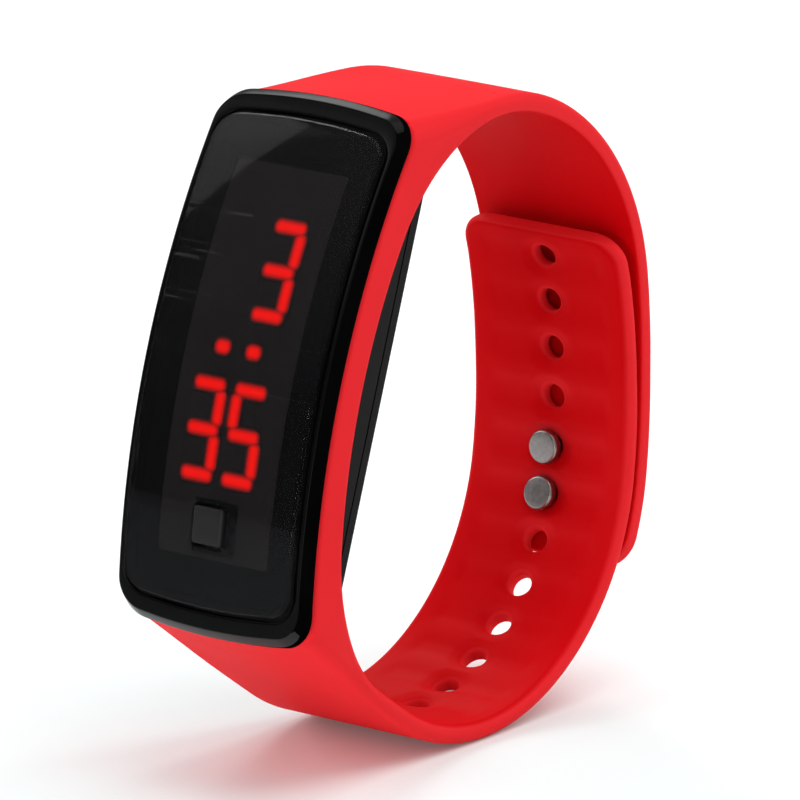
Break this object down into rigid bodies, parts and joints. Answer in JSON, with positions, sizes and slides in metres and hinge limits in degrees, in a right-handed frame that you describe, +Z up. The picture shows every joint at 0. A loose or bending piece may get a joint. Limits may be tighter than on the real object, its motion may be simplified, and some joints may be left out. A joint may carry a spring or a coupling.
{
  "type": "fitness watch",
  "caption": "Slim LED bracelet watch: a long bowed black face with a push button, in a closed one-piece silicone band with a stud clasp.",
  "frame": {"origin": "centre of the footprint's bounding box, on the surface that the closed band stands on", "axes": "+Z up as the closed band stands; -Y the way the face looks, leaning back; +X across the band"},
  "size_m": [0.0226, 0.0582, 0.0653],
  "materials": {
    "bezel_gloss": "gloss",
    "lens_glass": "gloss",
    "seal_rubber": "matte",
    "mask_print": "matte",
    "window_print": "matte",
    "led_lit": "satin",
    "led_dark": "satin",
    "display_grey": "matte",
    "tinned_wire": "satin",
    "board_green": "satin",
    "resin_black": "satin",
    "capacitor_tan": "matte",
    "switch_grey": "matte",
    "stem_white": "matte",
    "contact_gold": "satin",
    "cell_steel": "satin",
    "frame_white": "matte",
    "case_black": "satin",
    "silicone_red": "matte",
    "stud_steel": "satin"
  },
  "bodies": {
    "case": {"front_bezel": "bezel_gloss", "lens": "lens_glass", "lens_gasket": "seal_rubber", "mask_film": "mask_print", "window_film": "window_print", "lit_segments": "led_lit", "unlit_segments": "led_dark", "display_body": "display_grey", "display_pins": "tinned_wire", "main_board": "board_green", "chip_blob": "resin_black", "crystal_can": "tinned_wire", "resistors": "resin_black", "capacitors": "capacitor_tan", "tact_switch": "switch_grey", "positive_contact": "contact_gold", "negative_contact": "contact_gold", "bridge_contact": "tinned_wire", "upper_cell": "cell_steel", "lower_cell": "cell_steel", "battery_frame": "frame_white", "case_gasket": "seal_rubber", "inner_case": "case_black", "back_gasket": "seal_rubber", "back_cover": "case_black", "back_screws": "cell_steel", "strap_sleeve": "silicone_red"},
    "tail": {"strap_tail": "silicone_red", "clasp_plate": "stud_steel", "clasp_studs": "stud_steel"},
    "holed_end": {"strap_holed_end": "silicone_red", "hole_rims": "silicone_red"},
    "button": {"button_cap": "bezel_gloss", "switch_plunger": "stem_white"}
  },
  "joints": [
    {"name": "button_press", "type": "slide", "parent": "case", "child": "button", "axis": [0, 0.9444, -0.3289], "range_m": [0, 0.00035], "stiffness_N_per_m": 2000},
    {"name": "tail_peel", "type": "hinge", "parent": "case", "child": "tail", "pos_m": [0, 0.02409, 0.05291], "axis": [1, 0, 0], "range_deg": [0, 80], "stiffness_Nm_per_rad": 0.01, "deforming": ["hole_rims"]},
    {"name": "holed_end_flex", "type": "hinge", "parent": "case", "child": "holed_end", "pos_m": [0, 0.02113, 0.012], "axis": [1, 0, 0], "range_deg": [0, 25], "stiffness_Nm_per_rad": 0.01, "deforming": ["hole_rims"]}
  ]
}
